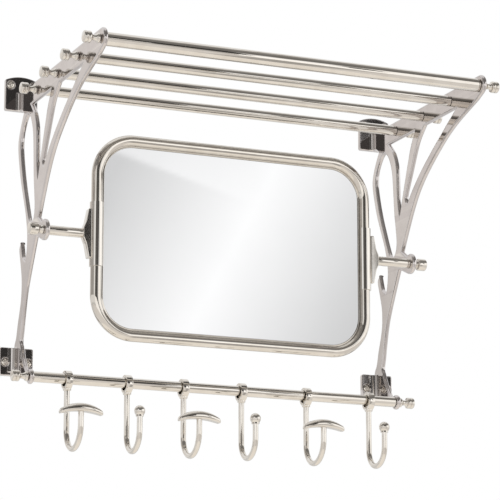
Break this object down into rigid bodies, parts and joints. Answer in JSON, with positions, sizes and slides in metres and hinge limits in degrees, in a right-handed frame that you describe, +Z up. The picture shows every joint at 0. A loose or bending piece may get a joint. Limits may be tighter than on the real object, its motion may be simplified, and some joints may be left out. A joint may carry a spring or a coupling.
{
  "type": "wall rack with mirror and hooks",
  "caption": "Wall rack with two ornamental cast side brackets, a shelf of round tubes, a tilting rounded mirror and a rail of sliding, swinging hooks.",
  "frame": {"origin": "on the wall plane, midway between the side brackets, level with the lower edges of the bottom flanges", "axes": "+X to the right along the wall, +Y into the wall (the rack stands out towards -Y), +Z up"},
  "size_m": [0.4944, 0.29, 0.4425],
  "materials": {
    "cast_nickel": "polished nickel plate on a casting, warm, faintly uneven",
    "polished_nickel": "polished nickel plate, warm and mirror bright",
    "threaded_steel": "plain threaded steel",
    "silvered_glass": "silvered float glass",
    "backing_board": "matt grey backing sheet"
  },
  "bodies": {
    "rack": {"bracket_left": "cast_nickel", "bracket_right": "cast_nickel", "flange_screw_left_top_outer": "polished_nickel", "flange_screw_left_top_inner": "polished_nickel", "flange_screw_left_bottom_outer": "polished_nickel", "flange_screw_left_bottom_inner": "polished_nickel", "flange_screw_right_top_outer": "polished_nickel", "flange_screw_right_top_inner": "polished_nickel", "flange_screw_right_bottom_outer": "polished_nickel", "flange_screw_right_bottom_inner": "polished_nickel", "shelf_tube_1": "polished_nickel", "shelf_tube_2": "polished_nickel", "shelf_tube_3": "polished_nickel", "shelf_tube_4": "polished_nickel", "shelf_tie_rod_1": "threaded_steel", "shelf_tie_rod_2": "threaded_steel", "shelf_tie_rod_3": "threaded_steel", "shelf_tie_rod_4": "threaded_steel", "shelf_finial_1_left": "polished_nickel", "shelf_finial_1_right": "polished_nickel", "shelf_finial_2_left": "polished_nickel", "shelf_finial_2_right": "polished_nickel", "shelf_finial_3_left": "polished_nickel", "shelf_finial_3_right": "polished_nickel", "shelf_finial_4_left": "polished_nickel", "shelf_finial_4_right": "polished_nickel", "hook_rail": "polished_nickel", "rail_finial_left": "polished_nickel", "rail_finial_right": "polished_nickel"},
    "mirror": {"mirror_frame": "polished_nickel", "mirror_bead": "polished_nickel", "mirror_glass": "silvered_glass", "mirror_backing": "backing_board", "pivot_sleeve_left": "polished_nickel", "pivot_sleeve_right": "polished_nickel", "pivot_plate_left": "polished_nickel", "pivot_plate_right": "polished_nickel", "pivot_rod_left": "polished_nickel", "pivot_rod_right": "polished_nickel"},
    "knob_left": {"pivot_knob_left": "polished_nickel"},
    "knob_right": {"pivot_knob_right": "polished_nickel"},
    "hook_1_slider": {"hook_1_collar": "polished_nickel"},
    "hook_1": {"hook_1_rod": "polished_nickel", "hook_1_cap": "polished_nickel"},
    "hook_2_slider": {"hook_2_collar": "polished_nickel"},
    "hook_2": {"hook_2_rod": "polished_nickel", "hook_2_ball": "polished_nickel"},
    "hook_3_slider": {"hook_3_collar": "polished_nickel"},
    "hook_3": {"hook_3_rod": "polished_nickel", "hook_3_cap": "polished_nickel"},
    "hook_4_slider": {"hook_4_collar": "polished_nickel"},
    "hook_4": {"hook_4_rod": "polished_nickel", "hook_4_ball": "polished_nickel"},
    "hook_5_slider": {"hook_5_collar": "polished_nickel"},
    "hook_5": {"hook_5_rod": "polished_nickel", "hook_5_cap": "polished_nickel"},
    "hook_6_slider": {"hook_6_collar": "polished_nickel"},
    "hook_6": {"hook_6_rod": "polished_nickel", "hook_6_ball": "polished_nickel"}
  },
  "joints": [
    {"name": "mirror_tilt", "type": "hinge", "parent": "rack", "child": "mirror", "pos_m": [0, -0.0985, 0.149], "axis": [1, 0, 0], "range_deg": [-50, 50]},
    {"name": "knob_left_turn", "type": "hinge", "parent": "mirror", "child": "knob_left", "pos_m": [-0.235, -0.0985, 0.149], "axis": [1, 0, 0], "range_deg": [0, 360]},
    {"name": "knob_right_turn", "type": "hinge", "parent": "mirror", "child": "knob_right", "pos_m": [0.235, -0.0985, 0.149], "axis": [1, 0, 0], "range_deg": [0, 360]},
    {"name": "hook_1_slide", "type": "slide", "parent": "rack", "child": "hook_1_slider", "axis": [1, 0, 0], "range_m": [-0.03, 0.015]},
    {"name": "hook_1_swing", "type": "hinge", "parent": "hook_1_slider", "child": "hook_1", "pos_m": [-0.182, -0.0565, -0.0084], "axis": [1, 0, 0], "range_deg": [-60, 45]},
    {"name": "hook_2_slide", "type": "slide", "parent": "rack", "child": "hook_2_slider", "axis": [1, 0, 0], "range_m": [-0.015, 0.015]},
    {"name": "hook_2_swing", "type": "hinge", "parent": "hook_2_slider", "child": "hook_2", "pos_m": [-0.111, -0.0565, -0.0084], "axis": [1, 0, 0], "range_deg": [-60, 45]},
    {"name": "hook_3_slide", "type": "slide", "parent": "rack", "child": "hook_3_slider", "axis": [1, 0, 0], "range_m": [-0.015, 0.015]},
    {"name": "hook_3_swing", "type": "hinge", "parent": "hook_3_slider", "child": "hook_3", "pos_m": [-0.043, -0.0565, -0.0084], "axis": [1, 0, 0], "range_deg": [-60, 45]},
    {"name": "hook_4_slide", "type": "slide", "parent": "rack", "child": "hook_4_slider", "axis": [1, 0, 0], "range_m": [-0.015, 0.02]},
    {"name": "hook_4_swing", "type": "hinge", "parent": "hook_4_slider", "child": "hook_4", "pos_m": [0.028, -0.0565, -0.0084], "axis": [1, 0, 0], "range_deg": [-60, 45]},
    {"name": "hook_5_slide", "type": "slide", "parent": "rack", "child": "hook_5_slider", "axis": [1, 0, 0], "range_m": [-0.02, 0.02]},
    {"name": "hook_5_swing", "type": "hinge", "parent": "hook_5_slider", "child": "hook_5", "pos_m": [0.109, -0.0565, -0.0084], "axis": [1, 0, 0], "range_deg": [-60, 45]},
    {"name": "hook_6_slide", "type": "slide", "parent": "rack", "child": "hook_6_slider", "axis": [1, 0, 0], "range_m": [-0.02, 0.025]},
    {"name": "hook_6_swing", "type": "hinge", "parent": "hook_6_slider", "child": "hook_6", "pos_m": [0.189, -0.0565, -0.0084], "axis": [1, 0, 0], "range_deg": [-60, 45]}
  ]
}
